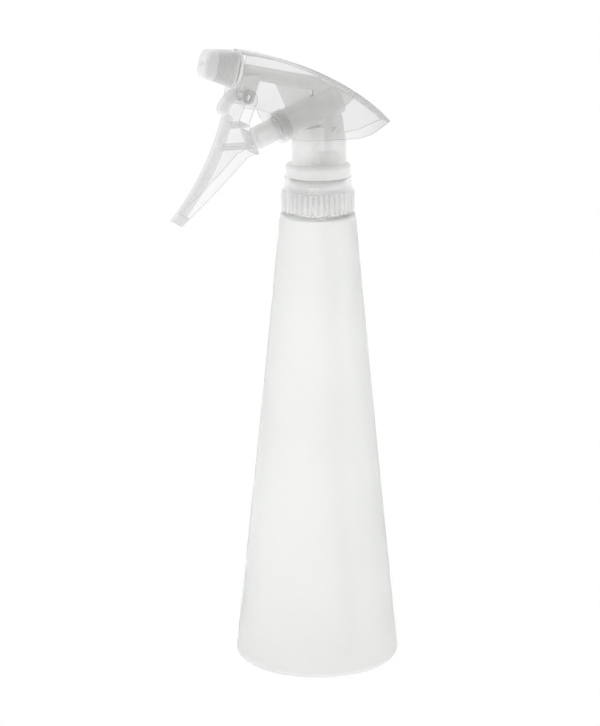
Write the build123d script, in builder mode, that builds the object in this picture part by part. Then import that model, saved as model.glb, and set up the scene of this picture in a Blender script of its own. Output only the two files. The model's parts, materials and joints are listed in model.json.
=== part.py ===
from build123d import *
from math import asin, cos, radians, sin, sqrt, tan
import os

# Trigger spray bottle. Millimetres, +Z up.
# The origin is the centre of the bottle's base, and the nozzle points towards -X.

os.makedirs("parts", exist_ok=True)

# Bottle
base_radius = 35.0
base_corner = 2.8
shoulder_height = 194.6
shoulder_radius = 15.9
shoulder_edge = 1.2
side_bow = 0.28
bottle_wall = 1.1
base_wall = 1.4

# Neck and its thread, which the screw cap and the pump share
neck_radius = 10.7
neck_wall = 1.1
neck_bore = neck_radius - neck_wall
neck_length = 11.4
thread_pitch = 3.175
thread_turns = 1.25
thread_depth = 1.15
thread_width = 1.3
thread_crest = 0.7
neck_thread_height = 4.4
thread_clearance = 0.3
thread_root = 0.3

# Stack on the neck: gasket, valve retainer flange, cap top plate, pump flange
gasket_thickness = 1.2
gasket_reach = 1.0
gasket_bore = neck_bore - gasket_reach
retainer_flange = 1.4
cap_plate = 1.4
turning_gap = 0.3
cap_skirt_gap = 1.2

# Screw cap
cap_wall = 1.95
cap_band_radius = neck_radius + thread_depth + thread_clearance + cap_wall
cap_rib_depth = 1.3
cap_rib_radius = cap_band_radius + cap_rib_depth
cap_rib_width = 1.1
cap_rib_count = 40
cap_rib_height = 8.8
cap_edge = 0.5

# Pump body, measured from the underside of its flange
flange_inset = 0.5
flange_radius = cap_band_radius - flange_inset
flange_height = 4.8
flange_edge = 1.4
socket_inset = 0.95
socket_radius = neck_radius - socket_inset
socket_depth = 3.4
socket_clearance = 0.05
intake_x = 5.1
rear_tube_radius = 7.0
rear_tube_shoulder = 14.4
rear_tube_top = 27.7
rear_tube_top_radius = 4.4
front_lobe_x = -5.8
front_lobe_radius = 5.5
front_lobe_top = 20.5
passage_radius = 1.8
passage_top = 26.0

# Inlet valve
dip_tube_radius = 2.0
dip_tube_bore = 1.3
tube_clearance = 0.03
retainer_boss_radius = 3.3
retainer_boss_drop = 6.5
tube_stop = 2.4
chimney_radius = 4.4
chimney_height = 9.0
chimney_clearance = 0.1
ball_radius = 2.2
ball_chamber = 2.5
ball_seat_gap = 0.05
seat_height = 3.4
dip_tube_straight = 23.5
dip_tube_reach = 27.7
dip_tube_foot = 4.0

# Pump barrel: its axis passes through barrel_mark and rises to the rear
barrel_mark = (-24.0, 18.9)
barrel_rise = 21.0
barrel_bore = 4.95
barrel_wall = 1.2
barrel_radius = barrel_bore + barrel_wall
barrel_mouth = 6.4
barrel_bottom = 33.0
barrel_end = 35.0
collar_wall = 0.75
collar_radius = barrel_radius + collar_wall
collar_length = 4.8
collar_lip = 1.2
running_clearance = 0.1

# Plunger, along the barrel axis
plunger_gap = 0.2
plunger_radius = barrel_bore - plunger_gap
plunger_dome = 7.0
plunger_nose = -6.4
plunger_tail = 15.0
plunger_nose_wall = 3.0
seal_seat_depth = 0.65
seal_seat_radius = plunger_radius - seal_seat_depth
plunger_wall = 0.7
plunger_hollow = seal_seat_radius - plunger_wall
seal_clearance = 0.07
cup_seal_start = 11.6
wiper_start = 8.2
wiper_length = 1.2
spring_wire = 0.6
spring_gap = 0.6
spring_radius = plunger_hollow - spring_gap
spring_turns = 12

# Outlet: the tube, the nozzle and its parts share one axis that rises to the front
nozzle_mark = (-38.0, 46.7)
outlet_rise = 13.0
outlet_radius = 3.0
outlet_bore = 1.4
outlet_length = 39.2
riser_x = -3.2
riser_radius = 1.2
riser_drop = 8.0
outlet_end_wall = 2.0
bulkhead_radius = 7.9
bulkhead_front = -0.2
bulkhead_thickness = 1.2
spigot_radius = 5.0
spigot_length = 9.2
spigot_bore = 3.2
valve_seat = 1.0
bead_start = 6.8
bead_length = 0.6
bead_height = 0.35

# Nozzle
nozzle_start = 0.3
nozzle_length = 13.6
nozzle_rear_half = 7.4
nozzle_front_half = 5.7
nozzle_corner = 3.9
nozzle_front_edge = 2.4
nozzle_clearance = 0.3
nozzle_bore = 1.5
orifice_radius = 0.45
orifice_length = 1.2
nozzle_seal_thickness = 0.6
outlet_valve_radius = 2.6
outlet_valve_length = 1.5
outlet_stem_radius = 0.8
outlet_stem_length = 1.4
outlet_valve_gap = 0.05
outlet_spring_wire = 0.4
outlet_spring_radius = 1.7
outlet_spring_turns = 3
swirl_length = 4.0
swirl_clearance = 0.05
swirl_slot = (1.2, 1.8)

# Trigger
pivot = (-32.8, 35.1)
pin_radius = 1.2
pin_clearance = 0.05
ear_inner = 3.0
ear_thickness = 1.3
ear_radius = 2.6
ear_window = (12.0, 9.2)
trigger_wall = 1.0
ear_clearance = 0.3
trigger_half_width = ear_inner + ear_thickness + ear_clearance + trigger_wall
trigger_gap = 0.3
rib_thickness = 1.2
upper_rib = 23.6
lower_rib = 14.7
pusher_half_height = 5.0

# Shroud
shroud_wall = 1.1
shroud_front_half = 7.7
shroud_hub_half = 8.6
shroud_tail_half = 3.4
shroud_edge = 2.0
shroud_end = 32.3
shroud_hollow_drop = 4.0
lug_height = 19.0
lug_radius = 1.5
plan_front = -55.0
web_half = 1.0
web_gap = 0.5

# Heights that follow
rim_height = shoulder_height + neck_length
flange_bottom = rim_height + gasket_thickness
head_base = flange_bottom + retainer_flange + turning_gap + cap_plate + turning_gap
cap_top = head_base - turning_gap
cap_bottom = shoulder_height + cap_skirt_gap
cap_bore = neck_radius + thread_depth + thread_clearance
retainer_radius = cap_bore - 0.55
seat_z = head_base + seat_height
ball_z = seat_z - dip_tube_bore + (ball_radius + ball_seat_gap) * sqrt(2)
chimney_top = head_base + chimney_height

# Planes that follow
side = Plane(origin=(0, 0, head_base), x_dir=(1, 0, 0), z_dir=(0, -1, 0))
barrel_rise_rad = radians(barrel_rise)
outlet_rise_rad = radians(outlet_rise)
barrel_axis = Plane(
    origin=(barrel_mark[0], 0, head_base + barrel_mark[1]),
    x_dir=(0, 1, 0),
    z_dir=(cos(barrel_rise_rad), 0, sin(barrel_rise_rad)),
)
outlet_axis = Plane(
    origin=(nozzle_mark[0], 0, head_base + nozzle_mark[1]),
    x_dir=(0, 1, 0),
    z_dir=(-cos(outlet_rise_rad), 0, sin(outlet_rise_rad)),
)


def finish(piece, label):
    """Labels a piece and writes it."""
    piece.label = label
    export_step(piece, f"parts/{label}.step")


def disc(plane, start, end, radius, bore=0.0, mode=Mode.ADD):
    """A round length along a plane's normal, solid or with a bore, in the part that is being built."""
    with BuildSketch(plane.offset(start)) as profile:
        Circle(radius)
        if bore:
            Circle(bore, mode=Mode.SUBTRACT)
    extrude(profile.sketch, amount=end - start, mode=mode)


def thread(radius, outward, start_height):
    """A right-hand thread ridge on a cylinder, outwards on a neck or inwards in a cap."""
    direction = 1 if outward else -1
    with BuildPart() as ridge:
        with BuildLine(Plane.XY.offset(start_height)) as path:
            Helix(pitch=thread_pitch, height=thread_pitch * thread_turns, radius=radius)
        with BuildSketch(Plane(origin=path.line @ 0, x_dir=(direction, 0, 0), z_dir=path.line % 0)):
            with BuildLine():
                Polyline(
                    (-thread_root, -thread_width / 2),
                    (0, -thread_width / 2),
                    (thread_depth, -thread_crest / 2),
                    (thread_depth, thread_crest / 2),
                    (0, thread_width / 2),
                    (-thread_root, thread_width / 2),
                    close=True,
                )
            make_face()
        sweep(is_frenet=True)
    return ridge.part


def coil(plane, length, radius, wire, turns):
    """A spring's wire, wound along a plane's normal."""
    with BuildPart() as winding:
        with BuildLine() as path:
            Helix(
                pitch=length / turns,
                height=length,
                radius=radius,
                center=plane.origin,
                direction=plane.z_dir,
            )
        with BuildSketch(Plane(origin=path.line @ 0, z_dir=path.line % 0)):
            Circle(wire / 2)
        sweep(is_frenet=True)
    return winding.part


# Bottle: a tall hollow cone with slightly hollow sides and a threaded neck
side_middle = (base_radius + shoulder_radius) / 2
neck_thread = thread(neck_radius, True, shoulder_height + neck_thread_height)

with BuildPart() as bottle:
    with BuildSketch(Plane.XZ):
        with BuildLine():
            Line((0, 0), (base_radius - base_corner, 0))
            RadiusArc((base_radius - base_corner, 0), (base_radius, base_corner), -base_corner)
            ThreePointArc(
                (base_radius, base_corner),
                (side_middle - side_bow, (base_corner + shoulder_height) / 2),
                (shoulder_radius, shoulder_height - shoulder_edge),
            )
            RadiusArc(
                (shoulder_radius, shoulder_height - shoulder_edge),
                (shoulder_radius - shoulder_edge, shoulder_height),
                -shoulder_edge,
            )
            Polyline(
                (shoulder_radius - shoulder_edge, shoulder_height),
                (neck_radius, shoulder_height),
                (neck_radius, rim_height),
                (neck_bore, rim_height),
                (neck_bore, shoulder_height - bottle_wall),
                (shoulder_radius - shoulder_edge, shoulder_height - bottle_wall),
                (shoulder_radius - bottle_wall, shoulder_height - bottle_wall - shoulder_edge),
            )
            ThreePointArc(
                (shoulder_radius - bottle_wall, shoulder_height - bottle_wall - shoulder_edge),
                (side_middle - side_bow - bottle_wall, (base_corner + shoulder_height) / 2),
                (base_radius - bottle_wall, base_corner + base_wall),
            )
            Polyline(
                (base_radius - bottle_wall, base_corner + base_wall),
                (base_radius - base_corner, base_wall),
                (0, base_wall),
                (0, 0),
            )
        make_face()
    revolve(axis=Axis.Z)
    add(neck_thread)
finish(bottle.part, "bottle")

# Gasket between the neck's rim and the retainer
with BuildPart() as neck_gasket:
    disc(Plane.XY, rim_height, flange_bottom, retainer_radius, gasket_bore)
finish(neck_gasket.part, "neck_gasket")

# Valve retainer: a flange on the gasket, a plug in the pump, the tube's socket and the ball's seat
intake = Plane(origin=(intake_x, 0, 0), x_dir=(1, 0, 0), z_dir=(0, 0, 1))
plug_radius = socket_radius - socket_clearance
plug_top = head_base + socket_depth - turning_gap
with BuildPart() as valve_retainer:
    disc(Plane.XY, flange_bottom, flange_bottom + retainer_flange, retainer_radius)
    disc(Plane.XY, flange_bottom + retainer_flange, plug_top, plug_radius)
    disc(intake, flange_bottom - retainer_boss_drop, flange_bottom, retainer_boss_radius)
    disc(intake, plug_top, chimney_top, chimney_radius)
    tube_top = seat_z - tube_stop
    boss_bottom = flange_bottom - retainer_boss_drop
    disc(intake, boss_bottom, tube_top, dip_tube_radius + tube_clearance, mode=Mode.SUBTRACT)
    disc(intake, tube_top, seat_z, dip_tube_bore, mode=Mode.SUBTRACT)
    with BuildSketch(intake.offset(seat_z)):
        Circle(dip_tube_bore)
    with BuildSketch(intake.offset(seat_z + ball_chamber - dip_tube_bore)):
        Circle(ball_chamber)
    loft(mode=Mode.SUBTRACT)
    disc(intake, seat_z + ball_chamber - dip_tube_bore, chimney_top, ball_chamber, mode=Mode.SUBTRACT)
finish(valve_retainer.part, "valve_retainer")

# Inlet ball
with BuildPart() as inlet_ball:
    with Locations((intake_x, 0, ball_z)):
        Sphere(ball_radius)
finish(inlet_ball.part, "inlet_ball")

# Dip tube: straight out of its socket, then one long bend to the near edge of the base
bend_start = tube_top - dip_tube_straight
bend_drop = bend_start - dip_tube_foot
bend_radius = (dip_tube_reach**2 + bend_drop**2) / (2 * dip_tube_reach)
bend_angle = asin(bend_drop / bend_radius)
bend_middle = (-bend_radius * (1 - cos(bend_angle / 2)), bend_start - bend_radius * sin(bend_angle / 2))
with BuildPart() as dip_tube:
    with BuildLine(Plane.YZ.offset(intake_x)) as tube_path:
        Line((0, tube_top), (0, bend_start))
        ThreePointArc((0, bend_start), bend_middle, (-dip_tube_reach, dip_tube_foot))
    with BuildSketch(Plane(origin=(intake_x, 0, tube_top), x_dir=(1, 0, 0), z_dir=(0, 0, -1))):
        Circle(dip_tube_radius)
        Circle(dip_tube_bore, mode=Mode.SUBTRACT)
    sweep()
finish(dip_tube.part, "dip_tube")

# Screw cap: a ribbed skirt under a plain band, with a plate that holds the retainer down
cap_thread = thread(cap_bore, False, shoulder_height + neck_thread_height - thread_pitch / 2)
with BuildPart() as screw_cap:
    disc(Plane.XY, cap_bottom, cap_top, cap_band_radius)
    fillet(screw_cap.edges().group_by(Axis.Z)[-1], cap_edge)
    with PolarLocations(0, cap_rib_count):
        with Locations((cap_rib_radius / 2, 0, cap_bottom + cap_rib_height / 2)):
            Box(cap_rib_radius, cap_rib_width, cap_rib_height)
    disc(Plane.XY, cap_bottom, cap_top - cap_plate, cap_bore, mode=Mode.SUBTRACT)
    disc(Plane.XY, cap_top - cap_plate, cap_top, plug_radius + turning_gap, mode=Mode.SUBTRACT)
    add(cap_thread)
finish(screw_cap.part, "screw_cap")

# Outline of the shroud's top, from the nozzle to the tail, on the side plane
spine = [(-36.2, 54.2), (-17.9, 50.0), (-1.8, 43.7), (14.2, 34.7), (24.6, 27.2), (31.9, 20.8)]


def spine_inside(inset):
    """The spine's points moved square to it, inwards."""
    moved = []
    for index, (x, z) in enumerate(spine):
        before = spine[max(index - 1, 0)]
        after = spine[min(index + 1, len(spine) - 1)]
        run, drop = after[0] - before[0], after[1] - before[1]
        length = sqrt(run**2 + drop**2)
        moved.append((x + drop / length * inset, z - run / length * inset))
    return moved


# Pump body
ear_outer = ear_inner + ear_thickness
with BuildPart() as pump_body:
    disc(Plane.XY, head_base, head_base + flange_height, flange_radius)
    fillet(pump_body.edges().group_by(Axis.Z)[-1], flange_edge)
    # Column: a rear tube that narrows to a rounded top, and a front lobe under the barrel
    with BuildSketch(side):
        with BuildLine():
            Polyline(
                (intake_x, flange_height - flange_edge),
                (intake_x + rear_tube_radius, flange_height - flange_edge),
                (intake_x + rear_tube_radius, rear_tube_shoulder),
                (intake_x + rear_tube_top_radius + 1, rear_tube_top - 3),
                (intake_x + rear_tube_top_radius - 1, rear_tube_top),
                (intake_x, rear_tube_top),
                close=True,
            )
        make_face()
    revolve(axis=Axis((intake_x, 0, 0), (0, 0, 1)))
    front_lobe = Plane(origin=(front_lobe_x, 0, head_base), x_dir=(1, 0, 0), z_dir=(0, 0, 1))
    disc(front_lobe, flange_height - flange_edge, front_lobe_top, front_lobe_radius)
    # Web between the two lobes, and from the barrel up to the outlet tube and the spine
    with BuildSketch(side):
        with BuildLine():
            Polyline(
                (front_lobe_x, flange_height - flange_edge),
                (intake_x, flange_height - flange_edge),
                (intake_x, front_lobe_top),
                (front_lobe_x, front_lobe_top),
                close=True,
            )
        make_face()
    extrude(amount=front_lobe_radius - 1, both=True)
    disc(barrel_axis, barrel_mouth, barrel_end, barrel_radius)
    disc(outlet_axis, -outlet_length, bulkhead_front, outlet_radius)
    disc(outlet_axis, bulkhead_front - bulkhead_thickness, bulkhead_front, bulkhead_radius)
    disc(outlet_axis, bulkhead_front, spigot_length, spigot_radius)
    disc(outlet_axis, bead_start, bead_start + bead_length, spigot_radius + bead_height)
    web_top = spine_inside(shroud_wall + web_gap)
    with BuildSketch(side):
        with BuildLine():
            Polyline(
                (-20.0, 42.0),
                (-12.0, 24.0),
                (11.2, 27.5),
                (web_top[3][0] + 2.8, web_top[3][1] - 2.1),
                (web_top[3][0] - 1.0, web_top[3][1] + 0.5),
                (web_top[2][0] + 4.0, web_top[2][1] - 2.4),
                close=True,
            )
        make_face()
    extrude(amount=web_half, both=True)
    # Gusset under the spigot, with the two ears that carry the trigger
    with BuildSketch(side):
        with BuildLine():
            Polyline((-37.0, 44.5), (-25.9, 43.6), (-35.2, 38.9), close=True)
        make_face()
    extrude(amount=ear_outer, both=True)
    with BuildSketch(side):
        with BuildLine():
            Polyline(
                (pivot[0] - ear_radius + 0.4, pivot[1]),
                (pivot[0] + ear_radius, pivot[1]),
                (-27.5, 43.0),
                (-35.0, 39.5),
                close=True,
            )
        make_face()
        with Locations(pivot):
            Circle(ear_radius)
    extrude(amount=ear_outer, both=True)
    with BuildSketch(side):
        with Locations((pivot[0] + 1.0, pivot[1] - 1.0)):
            Rectangle(*ear_window)
    extrude(amount=ear_inner, both=True, mode=Mode.SUBTRACT)
    # Lugs that the shroud snaps over
    for lug_side in (-1, 1):
        lug_plane = Plane(
            origin=(intake_x, 0, head_base + lug_height), x_dir=(1, 0, 0), z_dir=(0, lug_side, 0)
        )
        disc(lug_plane, passage_radius + 2, shroud_hub_half - shroud_wall - socket_clearance, lug_radius)
    # Bores: plug socket, chimney socket, passage, barrel, riser, outlet, spigot and pivot
    disc(Plane.XY, head_base, head_base + socket_depth, socket_radius, mode=Mode.SUBTRACT)
    chimney_socket = chimney_radius + chimney_clearance
    disc(intake, head_base, chimney_top + chimney_clearance, chimney_socket, mode=Mode.SUBTRACT)
    disc(intake, chimney_top, head_base + passage_top, passage_radius, mode=Mode.SUBTRACT)
    disc(barrel_axis, barrel_mouth - 1, barrel_bottom, barrel_bore, mode=Mode.SUBTRACT)
    riser = Plane(origin=(riser_x, 0, head_base), x_dir=(1, 0, 0), z_dir=(0, 0, 1))
    outlet_at_riser = nozzle_mark[1] - (riser_x - nozzle_mark[0]) * tan(outlet_rise_rad)
    disc(riser, outlet_at_riser - riser_drop, outlet_at_riser, riser_radius, mode=Mode.SUBTRACT)
    disc(outlet_axis, outlet_end_wall - outlet_length, spigot_length, outlet_bore, mode=Mode.SUBTRACT)
    disc(outlet_axis, valve_seat, spigot_length, spigot_bore, mode=Mode.SUBTRACT)
    pivot_plane = Plane(origin=(pivot[0], 0, head_base + pivot[1]), x_dir=(1, 0, 0), z_dir=(0, 1, 0))
    disc(pivot_plane, -ear_outer, ear_outer, pin_radius + pin_clearance, mode=Mode.SUBTRACT)
finish(pump_body.part, "pump_body")

# Collar that closes the barrel's mouth and guides the plunger
collar_start = barrel_mouth - collar_lip
with BuildPart() as barrel_collar:
    disc(barrel_axis, collar_start, collar_start + collar_length, collar_radius)
    disc(barrel_axis, collar_start, barrel_mouth, plunger_radius + running_clearance, mode=Mode.SUBTRACT)
    collar_bore = barrel_radius + socket_clearance
    disc(barrel_axis, barrel_mouth, collar_start + collar_length, collar_bore, mode=Mode.SUBTRACT)
finish(barrel_collar.part, "barrel_collar")

# Plunger: a hollow piston with a domed nose, with seats for its two seals
barrel_side = Plane(origin=barrel_axis.origin, x_dir=barrel_axis.z_dir, z_dir=(0, -1, 0))
barrel_line = Axis(barrel_axis.origin, barrel_axis.z_dir)
dome_end = plunger_nose + plunger_dome - sqrt(plunger_dome**2 - plunger_radius**2)
with BuildPart() as plunger:
    with BuildSketch(barrel_side):
        with BuildLine():
            RadiusArc((plunger_nose, 0), (dome_end, plunger_radius), plunger_dome)
            Polyline(
                (dome_end, plunger_radius),
                (wiper_start, plunger_radius),
                (wiper_start, seal_seat_radius),
                (wiper_start + wiper_length, seal_seat_radius),
                (wiper_start + wiper_length, plunger_radius),
                (cup_seal_start, plunger_radius),
                (cup_seal_start, seal_seat_radius),
                (plunger_tail, seal_seat_radius),
                (plunger_tail, plunger_hollow),
                (plunger_nose + plunger_nose_wall, plunger_hollow),
                (plunger_nose + plunger_nose_wall, 0),
                (plunger_nose, 0),
            )
        make_face()
    revolve(axis=barrel_line)
finish(plunger.part, "plunger")

# Seals on the plunger
seal_radius = barrel_bore - seal_clearance
with BuildPart() as plunger_wiper_seal:
    disc(barrel_axis, wiper_start, wiper_start + wiper_length, seal_radius, seal_seat_radius)
finish(plunger_wiper_seal.part, "plunger_wiper_seal")

with BuildPart() as plunger_cup_seal:
    disc(barrel_axis, cup_seal_start, plunger_tail, seal_radius, seal_seat_radius)
    cup_groove = (seal_seat_radius + seal_radius) / 2
    disc(barrel_axis, plunger_tail - 2.0, plunger_tail, cup_groove + 0.15, cup_groove - 0.15, Mode.SUBTRACT)
finish(plunger_cup_seal.part, "plunger_cup_seal")

# Return spring, from the plunger's nose to the barrel's bottom
spring_start = plunger_nose + plunger_nose_wall + spring_wire
spring_length = barrel_bottom - spring_wire - spring_start
return_spring = coil(
    barrel_axis.offset(spring_start),
    spring_length,
    spring_radius,
    spring_wire,
    spring_turns,
)
finish(return_spring, "return_spring")

# Trigger: a curved finger face with two side walls, ribs between them, and a plate that pushes the plunger
plate_rear = barrel_axis.offset(plunger_nose - trigger_gap)
trigger_inner = trigger_half_width - trigger_wall
with BuildPart() as trigger:
    with BuildSketch(side):
        with BuildLine():
            Spline([(-36.5, 37.7), (-40.1, 34.9), (-42.4, 31.8), (-43.3, 29.8)])
            Polyline((-43.3, 29.8), (-42.7, 28.3), (-40.9, 26.7))
            ThreePointArc((-40.9, 26.7), (-49.2, 5.8), (-63.9, -15.2))
            Line((-63.9, -15.2), (-63.1, -15.8))
            Spline([(-63.1, -15.8), (-50.1, -4.7), (-34.1, 10.6)])
            Polyline((-34.1, 10.6), (-29.9, 12.2), (-33.0, 24.6), (-30.2, 31.6))
            ThreePointArc((-30.2, 31.6), (-29.4, 35.5), (-32.8, 38.6))
            Line((-32.8, 38.6), (-36.5, 37.7))
        make_face()
    extrude(amount=trigger_half_width, both=True)
    with BuildSketch(side):
        with BuildLine():
            Polyline((-36.0, 45.0), (-35.9, 36.4), (-39.1, 33.9), (-41.2, 31.0), (-41.9, 29.6))
            Polyline((-41.9, 29.6), (-41.7, 29.0), (-39.6, 27.3))
            ThreePointArc((-39.6, 27.3), (-47.8, 6.3), (-60.9, -12.6))
            Polyline((-60.9, -12.6), (-50.0, -12.6), (-20.0, 12.0), (-20.0, 45.0), (-36.0, 45.0))
        make_face()
    extrude(amount=trigger_inner, both=True, mode=Mode.SUBTRACT)
    for rib_height, rib_front, rib_back in ((upper_rib, -41.6, -32.9), (lower_rib, -44.6, -30.6)):
        with BuildSketch(side):
            with BuildLine():
                Polyline(
                    (rib_front, rib_height - rib_thickness / 2),
                    (rib_back, rib_height - rib_thickness / 2),
                    (rib_back, rib_height + rib_thickness / 2),
                    (rib_front + 0.5, rib_height + rib_thickness / 2),
                    close=True,
                )
            make_face()
        extrude(amount=trigger_inner + 0.5, both=True)
    with BuildSketch(plate_rear):
        Rectangle(2 * trigger_inner + 1.0, 2 * pusher_half_height)
    extrude(amount=-rib_thickness)
    for pin_side in (-1, 1):
        pin_plane = Plane(
            origin=(pivot[0], 0, head_base + pivot[1]), x_dir=(1, 0, 0), z_dir=(0, pin_side, 0)
        )
        disc(pin_plane, ear_inner + 0.1, trigger_half_width, pin_radius)
finish(trigger.part, "trigger")


# Shroud: a clear cover open below, wide at the hub and narrow at the tail
def shroud_form(inset, drop):
    """The shroud's outer form, or with an inset the hollow inside it."""
    hub_half = shroud_hub_half - inset
    front_half = shroud_front_half - inset
    tail_half = shroud_tail_half - inset
    with BuildPart() as form:
        with BuildSketch(side):
            with BuildLine():
                top = Spline(spine_inside(inset))
                Polyline(
                    top @ 1,
                    (29.9 - inset, 20.3 - drop),
                    (21.4, 16.4 - drop),
                    (15.0, 15.4 - drop),
                    (-7.1, 15.9 - drop),
                    (-14.8, 17.0 - drop),
                    (-19.0, 19.9 - drop),
                    (-23.0, 24.4 - drop),
                    (-24.3, 28.5 - drop),
                    (-29.3, 30.3 - drop),
                    (-36.2, 31.6 - drop),
                    (-38.3, 33.2 - drop),
                    (-39.9 - drop, 36.8 - drop),
                    (-40.6 - drop, 39.9),
                    top @ 0,
                )
            make_face()
        extrude(amount=shroud_hub_half, both=True)
        with BuildSketch(Plane.XY.offset(head_base)):
            with BuildLine() as plan:
                Spline(
                    [
                        (plan_front, front_half - 0.6),
                        (nozzle_mark[0] - 1, front_half),
                        (-14.0, hub_half),
                        (8.0, hub_half),
                        (20.0, hub_half - 1.2),
                        (shroud_end - inset, tail_half),
                    ]
                )
                Polyline(
                    (shroud_end - inset, tail_half),
                    (shroud_end - inset, 0),
                    (plan_front, 0),
                    (plan_front, front_half - 0.6),
                )
            make_face()
            mirror(about=Plane.XZ)
        extrude(amount=-2 * plan_front, mode=Mode.INTERSECT)
    return form.part


shroud_hollow = shroud_form(shroud_wall, shroud_hollow_drop)
with BuildPart() as shroud:
    add(shroud_form(0, 0))
    top_faces = shroud.faces().filter_by(lambda face: face.normal_at().Z > 0.6)
    long_edges = top_faces.edges().filter_by(lambda edge: abs(edge.center().Y) > 2 and edge.length > 20)
    fillet(long_edges, shroud_edge)
    add(shroud_hollow, mode=Mode.SUBTRACT)
    with BuildSketch(outlet_axis.offset(bulkhead_front - bulkhead_thickness - turning_gap)):
        Rectangle(4 * shroud_hub_half, 4 * shroud_hub_half)
    extrude(amount=nozzle_length, mode=Mode.SUBTRACT)
finish(shroud.part, "shroud")

# Nozzle: a rounded square cap that turns on the spigot
cavity_end = spigot_length + nozzle_seal_thickness
with BuildPart() as nozzle:
    with BuildSketch(outlet_axis.offset(nozzle_start)):
        RectangleRounded(2 * nozzle_rear_half, 2 * nozzle_rear_half, nozzle_corner)
    with BuildSketch(outlet_axis.offset(nozzle_start + nozzle_length)):
        RectangleRounded(2 * nozzle_front_half, 2 * nozzle_front_half, nozzle_corner)
    loft()
    nozzle_front = nozzle.faces().sort_by(Axis(outlet_axis.origin, outlet_axis.z_dir))[-1]
    fillet(nozzle_front.edges(), nozzle_front_edge)
    disc(outlet_axis, nozzle_start, cavity_end, spigot_radius + nozzle_clearance, mode=Mode.SUBTRACT)
    groove_radius = spigot_radius + bead_height + nozzle_clearance
    groove_start = bead_start - nozzle_clearance
    groove_end = bead_start + bead_length + nozzle_clearance
    disc(outlet_axis, groove_start, groove_end, groove_radius, mode=Mode.SUBTRACT)
    nozzle_end = nozzle_start + nozzle_length
    disc(outlet_axis, cavity_end, nozzle_end - orifice_length, nozzle_bore, mode=Mode.SUBTRACT)
    disc(outlet_axis, cavity_end, nozzle_end, orifice_radius, mode=Mode.SUBTRACT)
finish(nozzle.part, "nozzle")

# Face seal inside the nozzle
with BuildPart() as nozzle_seal:
    disc(outlet_axis, spigot_length + outlet_valve_gap, cavity_end, spigot_radius, spigot_bore)
finish(nozzle_seal.part, "nozzle_seal")

# Swirl insert at the spigot's mouth, with two slots for the liquid
swirl_start = spigot_length - swirl_length
with BuildPart() as swirl_insert:
    disc(outlet_axis, swirl_start, spigot_length, spigot_bore - swirl_clearance)
    for slot_side in (-1, 1):
        slot_plane = Plane(
            origin=outlet_axis.from_local_coords((0, slot_side * spigot_bore, 0)),
            x_dir=(0, 1, 0),
            z_dir=outlet_axis.z_dir,
        )
        with BuildSketch(slot_plane.offset(swirl_start)):
            Rectangle(*swirl_slot)
        extrude(amount=swirl_length, mode=Mode.SUBTRACT)
finish(swirl_insert.part, "swirl_insert")

# Outlet valve and its spring, between the seat and the swirl insert
valve_start = valve_seat + outlet_valve_gap
valve_end = valve_start + outlet_valve_length
with BuildPart() as outlet_valve:
    disc(outlet_axis, valve_start, valve_end, outlet_valve_radius)
    disc(outlet_axis, valve_end, valve_end + outlet_stem_length, outlet_stem_radius)
finish(outlet_valve.part, "outlet_valve")

outlet_spring_start = valve_end + outlet_spring_wire / 2
outlet_spring_length = swirl_start - outlet_spring_wire / 2 - outlet_spring_start
outlet_spring = coil(
    outlet_axis.offset(outlet_spring_start),
    outlet_spring_length,
    outlet_spring_radius,
    outlet_spring_wire,
    outlet_spring_turns,
)
finish(outlet_spring, "outlet_spring")
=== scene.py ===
import bpy
import bmesh
import json
from math import cos, pi, radians, sin, sqrt
from mathutils import Matrix, Vector


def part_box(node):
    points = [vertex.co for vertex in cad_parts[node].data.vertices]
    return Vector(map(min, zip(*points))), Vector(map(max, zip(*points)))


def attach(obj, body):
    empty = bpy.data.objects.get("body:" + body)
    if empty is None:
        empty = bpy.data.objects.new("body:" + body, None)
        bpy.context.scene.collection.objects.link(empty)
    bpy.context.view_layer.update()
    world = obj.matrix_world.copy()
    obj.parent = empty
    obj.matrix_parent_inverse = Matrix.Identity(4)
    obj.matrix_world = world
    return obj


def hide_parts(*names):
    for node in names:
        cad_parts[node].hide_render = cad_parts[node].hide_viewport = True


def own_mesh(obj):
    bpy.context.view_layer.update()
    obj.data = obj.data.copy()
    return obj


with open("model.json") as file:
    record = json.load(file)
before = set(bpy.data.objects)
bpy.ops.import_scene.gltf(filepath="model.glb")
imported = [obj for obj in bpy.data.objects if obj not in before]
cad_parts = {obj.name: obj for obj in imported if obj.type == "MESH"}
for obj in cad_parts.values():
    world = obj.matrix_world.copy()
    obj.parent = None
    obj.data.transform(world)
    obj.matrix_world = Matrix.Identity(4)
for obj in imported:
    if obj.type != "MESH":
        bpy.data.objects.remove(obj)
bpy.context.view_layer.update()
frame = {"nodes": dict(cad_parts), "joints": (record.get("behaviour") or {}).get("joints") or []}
nodes = frame["nodes"]
print("frame loaded:", len(nodes), "nodes")
mm = 0.001


# materials

def newMaterial(name):
    material = bpy.data.materials.new(name)
    material.use_nodes = True
    tree = material.node_tree
    return material, tree, tree.nodes["Principled BSDF"]


def addNode(tree, kind, inputs=None, **settings):
    node = tree.nodes.new(kind)
    for key, value in settings.items():
        setattr(node, key, value)
    for key, value in (inputs or {}).items():
        if isinstance(value, bpy.types.NodeSocket):
            tree.links.new(value, node.inputs[key])
        else:
            node.inputs[key].default_value = value
    return node


toneStops = (0.3, 0.7)
bumpReach = 0.0004
veilSpread = (0.85, 1.15)


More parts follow.
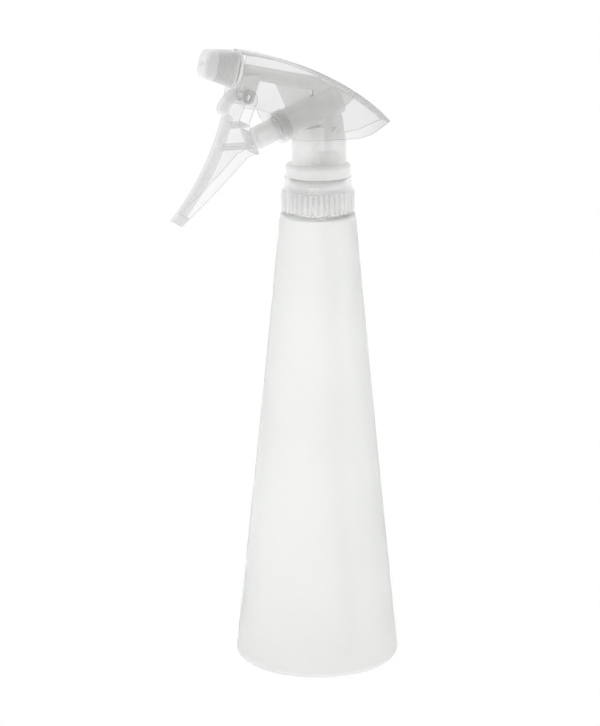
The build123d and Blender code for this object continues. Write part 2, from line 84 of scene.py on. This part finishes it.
def plasticMaterial(name, look):
    # moulded plastic: cloudy tone, fine surface grain and slow waves, as a mould leaves them
    material, tree, shader = newMaterial(name)
    place = addNode(tree, "ShaderNodeTexCoord").outputs["Object"]
    cloud = addNode(tree, "ShaderNodeTexNoise", {
        "Vector": place, "Scale": look["cloudScale"], "Detail": 4.0, "Roughness": 0.55}).outputs["Fac"]
    tone = addNode(tree, "ShaderNodeValToRGB", {"Fac": cloud})
    for stop, position, colour in zip(tone.color_ramp.elements, toneStops, (look["dark"], look["light"])):
        stop.position = position
        stop.color = (*colour, 1.0)
    tree.links.new(tone.outputs["Color"], shader.inputs["Base Color"])
    rough = addNode(tree, "ShaderNodeMapRange", {
        "Value": cloud, "To Min": look["roughness"][0], "To Max": look["roughness"][1]})
    tree.links.new(rough.outputs["Result"], shader.inputs["Roughness"])
    grain = addNode(tree, "ShaderNodeTexNoise", {"Vector": place, "Scale": look["grainScale"], "Detail": 3.0})
    wave = addNode(tree, "ShaderNodeTexNoise", {"Vector": place, "Scale": look["waveScale"], "Detail": 1.0})
    height = addNode(tree, "ShaderNodeMath", {0: wave.outputs["Fac"], 1: look["waveHeight"]},
                     operation="MULTIPLY")
    mixed = addNode(tree, "ShaderNodeMath", {
        0: grain.outputs["Fac"], 1: look["grainHeight"], 2: height.outputs[0]}, operation="MULTIPLY_ADD")
    bump = addNode(tree, "ShaderNodeBump", {
        "Height": mixed.outputs[0], "Strength": look["bump"], "Distance": bumpReach})
    tree.links.new(bump.outputs["Normal"], shader.inputs["Normal"])
    shader.inputs["IOR"].default_value = look["ior"]
    shader.inputs["Transmission Weight"].default_value = look["transmission"]
    shader.inputs["Specular IOR Level"].default_value = look["gloss"]
    if "alpha" in look:
        # thin clear walls: nearly clear face on, the base colour shows where the eye looks along the wall;
        # pale bases make it milky, while grey bases make it painted edge shade for the darkening that
        # refraction gives a clear wall
        facing = addNode(tree, "ShaderNodeLayerWeight", {"Blend": look["edgeBlend"]}).outputs["Facing"]
        veil = addNode(tree, "ShaderNodeMapRange", {
            "Value": facing, "To Min": look["alpha"][0], "To Max": look["alpha"][1]}).outputs["Result"]
        uneven = addNode(tree, "ShaderNodeMapRange", {
            "Value": cloud, "To Min": veilSpread[0], "To Max": veilSpread[1]})
        alpha = addNode(tree, "ShaderNodeMath", {0: veil, 1: uneven.outputs["Result"]}, operation="MULTIPLY",
                        use_clamp=True)
        tree.links.new(alpha.outputs[0], shader.inputs["Alpha"])
    material.diffuse_color = (*look["light"], 1.0)
    return material


baseLook = dict(cloudScale=60.0, dark=(0.8, 0.8, 0.8), light=(0.86, 0.86, 0.86), roughness=(0.2, 0.3),
                grainScale=2500.0, waveScale=120.0, waveHeight=0.2, grainHeight=0.2, bump=0.15, ior=1.49,
                transmission=0.0, gloss=0.5, edgeBlend=0.3)
looks = {
    "frostedBottle": dict(cloudScale=25.0, dark=(0.93, 0.935, 0.925), light=(0.965, 0.968, 0.962),
                          roughness=(0.55, 0.65), grainScale=1800.0, waveScale=35.0, waveHeight=0.25,
                          bump=0.25, ior=1.3, transmission=0.75, gloss=0.35),
    "frostedBody": dict(dark=(0.88, 0.885, 0.875), light=(0.935, 0.938, 0.93), roughness=(0.32, 0.45),
                        alpha=(0.6, 0.88)),
    # the grey bases of the clear shroud, trigger and nozzle are painted edge shade: shown at grazing edges by
    # the facing veil, they stand in for the dark edges refraction gives clear plastic
    "clearShroud": dict(dark=(0.5, 0.505, 0.495), light=(0.57, 0.573, 0.565), roughness=(0.1, 0.16), bump=0.1,
                        alpha=(0.02, 0.98), gloss=0.25, edgeBlend=0.42, ior=1.25),
    "clearTrigger": dict(dark=(0.55, 0.555, 0.555), light=(0.62, 0.625, 0.625), roughness=(0.06, 0.12),
                         bump=0.1, alpha=(0.03, 0.85), gloss=0.3, edgeBlend=0.38),
    "clearCap": dict(dark=(0.9, 0.905, 0.9), light=(0.95, 0.953, 0.949), roughness=(0.12, 0.2), bump=0.15,
                     alpha=(0.28, 0.62), gloss=0.8),
    "clearNozzle": dict(dark=(0.74, 0.743, 0.738), light=(0.81, 0.812, 0.808), roughness=(0.2, 0.3),
                        bump=0.15, alpha=(0.55, 0.97), edgeBlend=0.45),
    "plungerPlastic": dict(dark=(0.86, 0.86, 0.855), light=(0.92, 0.92, 0.915), roughness=(0.25, 0.35),
                           alpha=(0.4, 0.75)),
    "collarPlastic": dict(dark=(0.84, 0.84, 0.835), light=(0.9, 0.9, 0.895), roughness=(0.25, 0.35),
                          alpha=(0.08, 0.6)),
    "tubePlastic": dict(dark=(0.92, 0.925, 0.925), light=(0.96, 0.963, 0.963), roughness=(0.3, 0.4),
                        alpha=(0.2, 0.5)),
    "softSeal": dict(dark=(0.9, 0.9, 0.89), light=(0.94, 0.94, 0.93), roughness=(0.5, 0.6)),
    "ballPlastic": dict(dark=(0.84, 0.84, 0.84), light=(0.9, 0.9, 0.9), roughness=(0.15, 0.2)),
    "springPlastic": dict(dark=(0.7, 0.7, 0.7), light=(0.78, 0.78, 0.78), roughness=(0.25, 0.35)),
}
materials = {name: plasticMaterial(name, {**baseLook, **look}) for name, look in looks.items()}
nodeFinish = {
    "pump_body": "frostedBody", "valve_retainer": "frostedBody", "swirl_insert": "frostedBody",
    "neck_gasket": "softSeal", "plunger_cup_seal": "softSeal", "plunger_wiper_seal": "softSeal",
    "nozzle_seal": "softSeal", "outlet_valve": "softSeal", "dip_tube": "tubePlastic",
    "inlet_ball": "ballPlastic", "barrel_collar": "collarPlastic", "plunger": "plungerPlastic",
    "trigger": "clearTrigger", "shroud": "clearShroud", "nozzle": "clearNozzle", "screw_cap": "clearCap",
    "return_spring": "springPlastic", "outlet_spring": "springPlastic", "bottle": "frostedBottle",
}
for nodeName, finish in nodeFinish.items():
    mesh = nodes[nodeName].data
    mesh.materials.clear()
    mesh.materials.append(materials[finish])
print("materials:", len(materials))


# geometry node trees

def newTree(name, sizes):
    # a tree with a geometry input and output and named sizes
    tree = bpy.data.node_groups.new(name, "GeometryNodeTree")
    tree.interface.new_socket("Geometry", in_out="INPUT", socket_type="NodeSocketGeometry")
    tree.interface.new_socket("Geometry", in_out="OUTPUT", socket_type="NodeSocketGeometry")
    for label, value in sizes.items():
        kind = "NodeSocketInt" if isinstance(value, int) else "NodeSocketFloat"
        tree.interface.new_socket(label, in_out="INPUT", socket_type=kind).default_value = value
    return tree, tree.nodes.new("NodeGroupInput"), tree.nodes.new("NodeGroupOutput")


def calc(tree, operation, first, second=0.0, third=0.0):
    node = addNode(tree, "ShaderNodeMath", {0: first, 1: second, 2: third}, operation=operation)
    return node.outputs[0]


def finishTree(tree, geometry, material, output):
    # every tree ends the same way: real geometry, smooth, with its material
    smooth = addNode(tree, "GeometryNodeSetShadeSmooth", {"Geometry": geometry})
    real = addNode(tree, "GeometryNodeRealizeInstances", {"Geometry": smooth.outputs[0]})
    finish = addNode(tree, "GeometryNodeSetMaterial", {"Geometry": real.outputs[0]})
    finish.inputs["Material"].default_value = material
    tree.links.new(finish.outputs[0], output.inputs[0])


def meshObject(name, vertices, edges=(), faces=()):
    mesh = bpy.data.meshes.new(name)
    mesh.from_pydata([Vector(v) for v in vertices], list(edges), list(faces))
    mesh.update()
    piece = bpy.data.objects.new(name, mesh)
    bpy.context.scene.collection.objects.link(piece)
    return piece


weldReach = 2e-7
shortestEdge = 1e-8


def tidyMesh(piece, crease=35.0):
    # doubles merged, faces outwards, sharp corners kept
    work = bmesh.new()
    work.from_mesh(piece.data)
    bmesh.ops.remove_doubles(work, verts=work.verts, dist=weldReach)
    bmesh.ops.dissolve_degenerate(work, edges=work.edges, dist=shortestEdge)
    bmesh.ops.recalc_face_normals(work, faces=work.faces)
    work.to_mesh(piece.data)
    work.free()
    for face in piece.data.polygons:
        face.use_smooth = True
    piece.data.set_sharp_from_angle(angle=radians(crease))


def applyTree(piece, tree, sizes=None, crease=35.0):
    # runs the tree on the piece, keeps the result as a plain mesh and drops the modifier
    modifier = piece.modifiers.new(tree.name, "NODES")
    modifier.node_group = tree
    keys = {s.name: s.identifier for s in tree.interface.items_tree if getattr(s, "in_out", "") == "INPUT"}
    for label, value in (sizes or {}).items():
        modifier[keys[label]] = value
    bpy.context.view_layer.update()
    graph = bpy.context.evaluated_depsgraph_get()
    result = bpy.data.meshes.new_from_object(piece.evaluated_get(graph))
    piece.modifiers.clear()
    piece.data = result
    tidyMesh(piece, crease)
    return piece


def latheTree(name, material):
    # turns a profile, given as points at (radius, 0, height), once round the Z axis
    tree, source, output = newTree(name, {"Segments": 96})
    count = addNode(tree, "GeometryNodeAttributeDomainSize", {"Geometry": source.outputs["Geometry"]})
    points = count.outputs["Point Count"]
    columns = calc(tree, "ADD", source.outputs["Segments"], 1.0)
    grid = addNode(tree, "GeometryNodeMeshGrid", {"Vertices X": columns, "Vertices Y": points})
    index = addNode(tree, "GeometryNodeInputIndex").outputs[0]
    row = calc(tree, "MODULO", index, points)
    column = calc(tree, "FLOOR", calc(tree, "DIVIDE", calc(tree, "ADD", index, 0.5), points))
    place = addNode(tree, "GeometryNodeInputPosition").outputs[0]
    sample = addNode(tree, "GeometryNodeSampleIndex", {
        "Geometry": source.outputs["Geometry"], "Value": place, "Index": row}, data_type="FLOAT_VECTOR")
    tree.links.new(source.outputs["Geometry"], sample.inputs["Geometry"])
    split = addNode(tree, "ShaderNodeSeparateXYZ", {0: sample.outputs[0]})
    angle = calc(tree, "MULTIPLY", column, calc(tree, "DIVIDE", 2 * pi, source.outputs["Segments"]))
    sideways = calc(tree, "MULTIPLY", split.outputs[0], calc(tree, "COSINE", angle))
    across = calc(tree, "MULTIPLY", split.outputs[0], calc(tree, "SINE", angle))
    turned = addNode(tree, "ShaderNodeCombineXYZ", {0: sideways, 1: across, 2: split.outputs[2]})
    moved = addNode(tree, "GeometryNodeSetPosition", {
        "Geometry": grid.outputs[0], "Position": turned.outputs[0]})
    merged = addNode(tree, "GeometryNodeMergeByDistance", {"Geometry": moved.outputs[0], "Distance": 1e-6})
    finishTree(tree, merged.outputs[0], material, output)
    return tree


def lathe(name, profile, material, segments=96, crease=35.0):
    outline = meshObject(name, [(r * mm, 0, z * mm) for r, z in profile],
                         [(i, i + 1) for i in range(len(profile) - 1)])
    return applyTree(outline, latheTree(name + "Lathe", material), {"Segments": segments}, crease)


def corner(centre, radius, start, end, steps=6):
    # points on a round corner in a profile, angles in degrees
    return [(centre[0] + radius * cos(radians(start + (end - start) * i / steps)),
             centre[1] + radius * sin(radians(start + (end - start) * i / steps))) for i in range(steps + 1)]


# bottle

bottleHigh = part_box("bottle")[1]
rim = bottleHigh.z / mm
neckHeight = 11.4
bottleSizes = dict(baseRadius=bottleHigh.x / mm, baseCorner=2.8, shoulderHeight=rim - neckHeight,
                   shoulderRadius=15.9, shoulderEdge=1.2, bow=0.28, wall=1.1, floor=1.4, neckRadius=10.7,
                   neckBore=9.6, neckRoot=0.5, rimCorner=0.3, boreEdge=0.2, rim=rim, rows=60)


def bottleSide(z, inset):
    # radius of the slightly hollow side at a height
    s = bottleSizes
    low, high = s["baseCorner"], s["shoulderHeight"] - s["shoulderEdge"]
    share = (z - low) / (high - low)
    straight = s["baseRadius"] + (s["shoulderRadius"] - s["baseRadius"]) * share
    return straight - 4 * s["bow"] * share * (1 - share) - inset


def buildBottle():
    s = bottleSizes
    low, high = s["baseCorner"], s["shoulderHeight"] - s["shoulderEdge"]
    heights = [low + (high - low) * i / s["rows"] for i in range(s["rows"] + 1)]
    outer = [(0.0, 0.0), (s["baseRadius"] * 0.5, 0.0)]
    outer += corner((s["baseRadius"] - low, low), low, -90, 0)[:-1]
    outer += [(bottleSide(z, 0), z) for z in heights]
    edge = s["shoulderEdge"]
    outer += corner((s["shoulderRadius"] - edge, high), edge, 0, 90)[1:]
    root, rimCorner = s["neckRoot"], s["rimCorner"]
    outer += corner((s["neckRadius"] + root, s["shoulderHeight"] + root), root, -90, -180, 3)
    outer += corner((s["neckRadius"] - rimCorner, s["rim"] - rimCorner), rimCorner, 0, 90, 3)
    wall = s["wall"]
    inner = [(s["neckBore"] + s["boreEdge"], s["rim"]), (s["neckBore"], s["rim"] - s["boreEdge"])]
    inner += [(s["neckBore"], s["shoulderHeight"] - wall)]
    inner += [(s["shoulderRadius"] - edge, s["shoulderHeight"] - wall)]
    inner += [(bottleSide(z, wall), z) for z in reversed(heights[1:-1])]
    inner += corner((s["baseRadius"] - low - wall, low + s["floor"]), low, 0, -90)
    inner += [(s["baseRadius"] * 0.5, s["floor"]), (0.0, s["floor"])]
    piece = lathe("bottleShell", outer + inner, materials["frostedBottle"], 128, 40.0)
    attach(piece, "bottle")
    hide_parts("bottle")


buildBottle()


def coilTree(name, material):
    # a round section carried along a helix: springs, and the rounded ridge of a thread
    tree, source, output = newTree(name, {
        "Turns": 12.0, "Radius": 0.0028, "Length": 0.035, "Wire": 0.0003, "Steps": 28, "Sides": 10})
    path = addNode(tree, "GeometryNodeCurveSpiral", {
        "Resolution": source.outputs["Steps"], "Rotations": source.outputs["Turns"],
        "Start Radius": source.outputs["Radius"], "End Radius": source.outputs["Radius"],
        "Height": source.outputs["Length"]})
    section = addNode(tree, "GeometryNodeCurvePrimitiveCircle", {
        "Resolution": source.outputs["Sides"], "Radius": source.outputs["Wire"]})
    swept = addNode(tree, "GeometryNodeCurveToMesh", {
        "Curve": path.outputs[0], "Profile Curve": section.outputs[0], "Fill Caps": True})
    finishTree(tree, swept.outputs[0], material, output)
    return tree


def coil(name, material, sizes, origin, axis, turn=0.0):
    # a helix from the origin along an axis, sizes in millimetres
    piece = meshObject(name, [])
    metres = {k: v * mm if k in ("Radius", "Length", "Wire") else v for k, v in sizes.items()}
    applyTree(piece, coilTree(name + "Coil", material), metres, 50.0)
    turnTo = Vector(axis).to_track_quat("Z", "Y").to_matrix().to_4x4()
    piece.data.transform(Matrix.Translation(Vector(origin)) @ turnTo @ Matrix.Rotation(turn, 4, "Z"))
    return piece


def own(piece, body, slotName, *nodeNames):
    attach(piece, body)
    if nodeNames:
        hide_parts(*nodeNames)


threadPitch = 3.175
threadFoot = rim - 7.0
threadSizes = dict(Turns=1.25, Radius=11.05, Length=3.97, Wire=0.7, Steps=96, Sides=12)
neckThread = coil("neckThread", materials["frostedBottle"], threadSizes, (0, 0, threadFoot * mm), (0, 0, 1))
own(neckThread, "bottle", "frosted_bottle")
print("bottle built")


# screw cap

capLow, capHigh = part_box("screw_cap")
capSizes = dict(bottom=capLow.z / mm, top=capHigh.z / mm, ribRadius=capHigh.x / mm, ribDepth=1.3, bore=12.15,
                plate=1.4, hole=10.05, edge=0.5, lipEdge=0.2, holeEdge=0.3, plateCorner=0.4, ribHeight=8.8,
                ribWidth=1.1, ribRound=0.45, ribSink=0.1, ribCount=40, threadRise=0.35, threadWire=0.6)
# height above the rib's foot or below its top, and how far the rib is cut back there
ribFoot = ((0.0, 0.25), (0.3, 0.0))
ribTop = ((0.9, 0.0), (0.3, 0.3), (0.0, 0.9))


def ribTree(name, material):
    # one rib, copied in a ring about the Z axis
    tree, source, output = newTree(name, {"Count": 40})
    ring = addNode(tree, "GeometryNodeMeshLine", {"Count": source.outputs["Count"]})
    ring.inputs["Offset"].default_value = (0, 0, 0)
    index = addNode(tree, "GeometryNodeInputIndex").outputs[0]
    angle = calc(tree, "MULTIPLY", index, calc(tree, "DIVIDE", 2 * pi, source.outputs["Count"]))
    turn = addNode(tree, "ShaderNodeCombineXYZ", {2: angle})
    copies = addNode(tree, "GeometryNodeInstanceOnPoints", {
        "Points": ring.outputs[0], "Instance": source.outputs["Geometry"], "Rotation": turn.outputs[0]})
    finishTree(tree, copies.outputs[0], material, output)
    return tree


def buildCap():
    s = capSizes
    band = s["ribRadius"] - s["ribDepth"]
    edge = s["edge"]
    lip, hole, fillet = s["lipEdge"], s["holeEdge"], s["plateCorner"]
    under = s["top"] - s["plate"]
    profile = [(s["bore"], s["bottom"]), (band - lip, s["bottom"]), (band, s["bottom"] + lip)]
    profile += [(band, s["bottom"] + s["ribHeight"])]
    profile += corner((band - edge, s["top"] - edge), edge, 0, 90)
    profile += [(s["hole"] + hole, s["top"]), (s["hole"], s["top"] - hole), (s["hole"], under)]
    profile += corner((s["bore"] - fillet, under - fillet), fillet, 90, 0, 4)
    profile += [(s["bore"], s["bottom"])]
    body = lathe("capBody", profile, materials["clearCap"], 120)
    own(body, "cap", "clear_cap", "screw_cap")
    # the rib is a rounded bar with a sloping top, sunk a little in the band
    inner, outer, half = band - s["ribSink"], s["ribRadius"], s["ribWidth"] / 2
    bulge = s["ribRound"]
    section = [(inner, -half), (outer - bulge, -half)]
    section += [(outer - bulge + bulge * sin(radians(a)), -half * cos(radians(a)))
                for a in range(30, 180, 30)]
    section += [(outer - bulge, half), (inner, half)]
    levels = [(s["bottom"] + rise, cut) for rise, cut in ribFoot]
    levels += [(s["bottom"] + s["ribHeight"] - drop, cut) for drop, cut in ribTop]
    count = len(section)
    points = [((max(x - cut, inner) if x > inner else inner) * mm, y * mm, z * mm)
              for z, cut in levels for x, y in section]
    faces = [(i * count + j, i * count + (j + 1) % count,
              (i + 1) * count + (j + 1) % count, (i + 1) * count + j)
             for i in range(len(levels) - 1) for j in range(count)]
    faces += [tuple(reversed(range(count))), tuple(range((len(levels) - 1) * count, len(levels) * count))]
    ribs = applyTree(meshObject("capRibs", points, faces=faces), ribTree("capRibTree", materials["clearCap"]),
                     {"Count": s["ribCount"]})
    own(ribs, "cap", "clear_cap")
    # half a pitch up, so that it runs between the turns of the neck's thread
    sizes = {**threadSizes, "Radius": s["bore"] - s["threadRise"], "Wire": s["threadWire"]}
    start = (0, 0, (threadFoot + threadPitch / 2) * mm)
    thread = coil("capThread", materials["clearCap"], sizes, start, (0, 0, 1))
    own(thread, "cap", "clear_cap")


buildCap()
print("cap built")


# nozzle

joints = {joint["name"]: joint for joint in frame["joints"]}
outletAxis = Vector(joints["nozzle_turn"]["axis"]).normalized()
outletStart = Vector(joints["nozzle_turn"]["pos_m"])
nozzleSizes = dict(rear=0.3, length=13.6, rearHalf=7.4, frontHalf=5.7, corner=3.9, frontEdge=2.4, bore=5.3,
                   cavity=9.8, orifice=0.45, cone=1.7, gripStart=1.5, gripEnd=9.4, gripCount=12,
                   gripDepth=0.42, sides=96)
# how far forward of the rear face, and how far in from the side there
rearEdge = ((0.0, 0.25), (0.08, 0.07))
rearEdgeEnd = 0.25
# share of a grip line's pitch, and share of its depth
gripShape = ((0.0, 0.0), (0.16, 0.7), (0.3, 1.0), (0.44, 0.7), (0.6, 0.0))


def roundedSquare(half, radius, count):
    # a rounded square as points with even angles, starting on +X
    points = []
    for i in range(count):
        angle = 2 * pi * i / count
        x, y = cos(angle), sin(angle)
        big = max(abs(x), abs(y))
        flat = half / big
        px, py = abs(x) * flat, abs(y) * flat
        middle = half - radius
        if px > middle and py > middle:
            # the ray meets the corner arc
            ax, ay = abs(x), abs(y)
            b = middle * (ax + ay)
            flat = b + sqrt(max(b * b - 2 * middle * middle + radius * radius, 0.0))
        points.append((x * flat, y * flat))
    return points


def buildNozzle():
    s = nozzleSizes
    end = s["rear"] + s["length"]
    slope = (s["frontHalf"] - s["rearHalf"]) / s["length"]
    rings = []

    def addRing(t, half, radius=None):
        shape = roundedSquare(half, min(radius or s["corner"], half), s["sides"])
        rings.append([(x, y, t) for x, y in shape])

    for ahead, inward in rearEdge:
        addRing(s["rear"] + ahead, s["rearHalf"] - inward)
    addRing(s["rear"] + rearEdgeEnd, s["rearHalf"] + slope * rearEdgeEnd)
    pitch = (s["gripEnd"] - s["gripStart"]) / s["gripCount"]
    for i in range(s["gripCount"]):
        low = s["gripStart"] + i * pitch
        for share, drop in gripShape:
            t = low + share * pitch
            addRing(t, s["rearHalf"] + slope * t - drop * s["gripDepth"])
    edge = s["frontEdge"]
    for angle in range(0, 105, 15):
        t = end - edge + edge * sin(radians(angle))
        half = s["frontHalf"] - slope * (end - t) - edge * (1 - cos(radians(angle)))
        addRing(t, half, max(s["corner"] - edge * (1 - cos(radians(angle))) * 0.6, 1.5))
    for radius, t in ((s["cone"] + 0.5, end), (s["cone"], end - 0.1), (s["orifice"] + 0.1, end - 0.8),
                      (s["orifice"], end - 0.9), (s["orifice"], end - 1.2), (1.5, end - 1.2),
                      (1.5, s["cavity"]), (s["bore"] - 0.3, s["cavity"]), (s["bore"], s["cavity"] - 0.3),
                      (s["bore"], s["rear"] + 0.3), (s["bore"] + 0.3, s["rear"])):
        rings.append([(radius * cos(2 * pi * i / s["sides"]), radius * sin(2 * pi * i / s["sides"]), t)
                      for i in range(s["sides"])])
    count = s["sides"]
    points = [(x * mm, y * mm, t * mm) for ring in rings for x, y, t in ring]
    total = len(rings)
    faces = [(i * count + j, i * count + (j + 1) % count,
              (i + 1) % total * count + (j + 1) % count, (i + 1) % total * count + j)
             for i in range(total) for j in range(count)]
    piece = meshObject("nozzleShell", points, faces=faces)
    piece.data.materials.append(materials["clearNozzle"])
    sideways = Vector((0, 1, 0))
    upward = outletAxis.cross(sideways)
    piece.data.transform(Matrix.Translation(outletStart) @ Matrix((
        (sideways.x, upward.x, outletAxis.x, 0), (sideways.y, upward.y, outletAxis.y, 0),
        (sideways.z, upward.z, outletAxis.z, 0), (0, 0, 0, 1))))
    tidyMesh(piece, 40.0)
    own(piece, "nozzle", "nozzle", "nozzle")


buildNozzle()
print("nozzle built")


# springs

barrelAxis = Vector(joints["plunger_stroke"]["axis"]).normalized()
springSizes = dict(Turns=12.0, Radius=2.8, Length=35.2, Wire=0.3, Steps=28, Sides=10)
valveSpringSizes = dict(Turns=3.0, Radius=1.7, Length=2.25, Wire=0.2, Steps=28, Sides=10)


def buildSprings():
    low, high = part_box("return_spring")
    middle = (low + high) / 2
    half = springSizes["Length"] / 2 * mm
    spring = coil("returnSpring", materials["springPlastic"], springSizes, middle - barrelAxis * half,
                  barrelAxis)
    own(spring, "head", "spring", "return_spring")
    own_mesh(spring)
    low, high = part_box("outlet_spring")
    middle = (low + high) / 2
    half = valveSpringSizes["Length"] / 2 * mm
    spring = coil("valveSpring", materials["springPlastic"], valveSpringSizes, middle - outletAxis * half,
                  outletAxis)
    own(spring, "head", "spring", "outlet_spring")
    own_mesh(spring)


buildSprings()
print("springs built")


# moulded pieces with softened edges

mouldedPieces = {
    "pump_body": ("pumpMoulding", "head", "frosted_body", 0.25),
    "shroud": ("shroudMoulding", "head", "clear_shroud", 0.2),
    "trigger": ("triggerMoulding", "trigger", "clear_trigger", 0.25),
    "plunger": ("plungerMoulding", "plunger", "plunger", 0.2),
    "barrel_collar": ("collarMoulding", "head", "clear_cap", 0.3),
    "dip_tube": ("dipTube", "head", "tube", 0.0),
    "valve_retainer": ("retainerMoulding", "head", "frosted_body", 0.15),
    "inlet_ball": ("valveBall", "inlet_ball", "ball", 0.0),
}


mouldWeld = 2e-6
mouldShortest = 1e-7
flatAngle, bevelAngle, creaseAngle = 0.5, 40, 38


def softenNode(nodeName):
    # the node's form with its flat facets joined, its corners rounded over and smooth curved faces
    name, body, slotName, width = mouldedPieces[nodeName]
    piece = bpy.data.objects.new(name, nodes[nodeName].data.copy())
    bpy.context.scene.collection.objects.link(piece)
    work = bmesh.new()
    work.from_mesh(piece.data)
    bmesh.ops.remove_doubles(work, verts=work.verts, dist=mouldWeld)
    bmesh.ops.dissolve_degenerate(work, edges=work.edges, dist=mouldShortest)
    if width:
        bmesh.ops.dissolve_limit(work, angle_limit=radians(flatAngle), verts=work.verts, edges=work.edges)
    work.to_mesh(piece.data)
    work.free()
    for face in piece.data.polygons:
        face.use_smooth = True
    if width:
        bevel = piece.modifiers.new("softEdges", "BEVEL")
        bevel.width = width * mm
        bevel.segments = 3
        bevel.limit_method = "ANGLE"
        bevel.angle_limit = radians(bevelAngle)
        bevel.use_clamp_overlap = True
        bevel.miter_outer = "MITER_ARC"
        bpy.context.view_layer.update()
        graph = bpy.context.evaluated_depsgraph_get()
        result = bpy.data.meshes.new_from_object(piece.evaluated_get(graph))
        piece.modifiers.clear()
        piece.data = result
    for face in piece.data.polygons:
        face.use_smooth = True
    piece.data.set_sharp_from_angle(angle=radians(creaseAngle))
    own(piece, body, slotName, nodeName)
    print(name, len(piece.data.polygons), "faces")


for nodeName in mouldedPieces:
    softenNode(nodeName)
print("mouldings built")


# camera, surround and floor

cameraSizes = dict(place=(-0.4474, -1.0049, 0.4273), pitch=15.15, heading=-23.61, frameHeight=726,
                   focal=2689.0)
cameraData = bpy.data.cameras.new("sceneCamera")
cameraData.sensor_width = 36.0
cameraData.lens = cameraSizes["focal"] / cameraSizes["frameHeight"] * cameraData.sensor_width
camera = bpy.data.objects.new("sceneCamera", cameraData)
camera.location = cameraSizes["place"]
camera.rotation_euler = (radians(90 - cameraSizes["pitch"]), 0, radians(cameraSizes["heading"]))
bpy.context.scene.collection.objects.link(camera)
bpy.context.scene.camera = camera

lightSizes = dict(worldWhite=1.08, worldSide=0.68, leftExtra=0.17, sideFall=0.8)
floorSizes = dict(half=6, dark=0.92, light=0.95, cloudScale=3.0, roughness=0.9, glow=0.31)


def buildStudio():
    # a white surround that is greyer at the sides, so that clear and frosted edges read
    world = bpy.data.worlds.new("studio")
    bpy.context.scene.world = world
    world.use_nodes = True
    tree = world.node_tree
    background = tree.nodes["Background"]
    place = addNode(tree, "ShaderNodeTexCoord")
    split = addNode(tree, "ShaderNodeSeparateXYZ", {0: place.outputs["Generated"]})
    heading = radians(cameraSizes["heading"])
    along = calc(tree, "MULTIPLY", split.outputs[0], -sin(heading))
    toBack = calc(tree, "MULTIPLY_ADD", split.outputs[1], cos(heading), along)
    facing = calc(tree, "ABSOLUTE", toBack)
    up = calc(tree, "MAXIMUM", split.outputs[2], 0.0)
    fall = calc(tree, "POWER", facing, lightSizes["sideFall"])
    share = calc(tree, "MINIMUM", calc(tree, "MAXIMUM", fall, up), 1.0)
    tone = addNode(tree, "ShaderNodeMapRange", {
        "Value": share, "To Min": lightSizes["worldSide"], "To Max": lightSizes["worldWhite"]})
    right = calc(tree, "MULTIPLY_ADD", split.outputs[0], cos(heading),
                 calc(tree, "MULTIPLY", split.outputs[1], sin(heading)))
    leftward = calc(tree, "MULTIPLY_ADD", right, -lightSizes["leftExtra"], tone.outputs["Result"])
    path = addNode(tree, "ShaderNodeLightPath")
    seen = addNode(tree, "ShaderNodeMix", {
        "Factor": path.outputs["Is Camera Ray"], "A": leftward, "B": 1.0}, data_type="FLOAT")
    tree.links.new(seen.outputs["Result"], background.inputs["Strength"])
    background.inputs["Color"].default_value = (1, 1, 1, 1)
    half = floorSizes["half"]
    floor = meshObject("floor", [(-half, -half, 0), (half, -half, 0), (half, half, 0), (-half, half, 0)],
                       faces=[(0, 1, 2, 3)])
    material, floorTree, shader = newMaterial("paleFloor")
    speckle = addNode(floorTree, "ShaderNodeTexNoise", {"Scale": floorSizes["cloudScale"], "Detail": 3.0})
    shade = addNode(floorTree, "ShaderNodeMapRange", {
        "Value": speckle.outputs["Fac"], "To Min": floorSizes["dark"], "To Max": floorSizes["light"]})
    floorTree.links.new(shade.outputs["Result"], shader.inputs["Base Color"])
    shader.inputs["Roughness"].default_value = floorSizes["roughness"]
    shader.inputs["Specular IOR Level"].default_value = 0.0
    shader.inputs["Emission Color"].default_value = (1, 1, 1, 1)
    shader.inputs["Emission Strength"].default_value = floorSizes["glow"]
    # seen directly the floor is plain white, and its bounce on the bottle is softer
    glow = addNode(floorTree, "ShaderNodeEmission", {"Strength": 1.0})
    floorPath = addNode(floorTree, "ShaderNodeLightPath")
    blend = addNode(floorTree, "ShaderNodeMixShader", {
        "Fac": floorPath.outputs["Is Camera Ray"], 1: shader.outputs[0], 2: glow.outputs[0]})
    output = next(node for node in floorTree.nodes if node.type == "OUTPUT_MATERIAL")
    floorTree.links.new(blend.outputs[0], output.inputs["Surface"])
    floor.data.materials.append(material)


buildStudio()
bpy.context.scene.view_settings.view_transform = "Standard"
print("studio built")
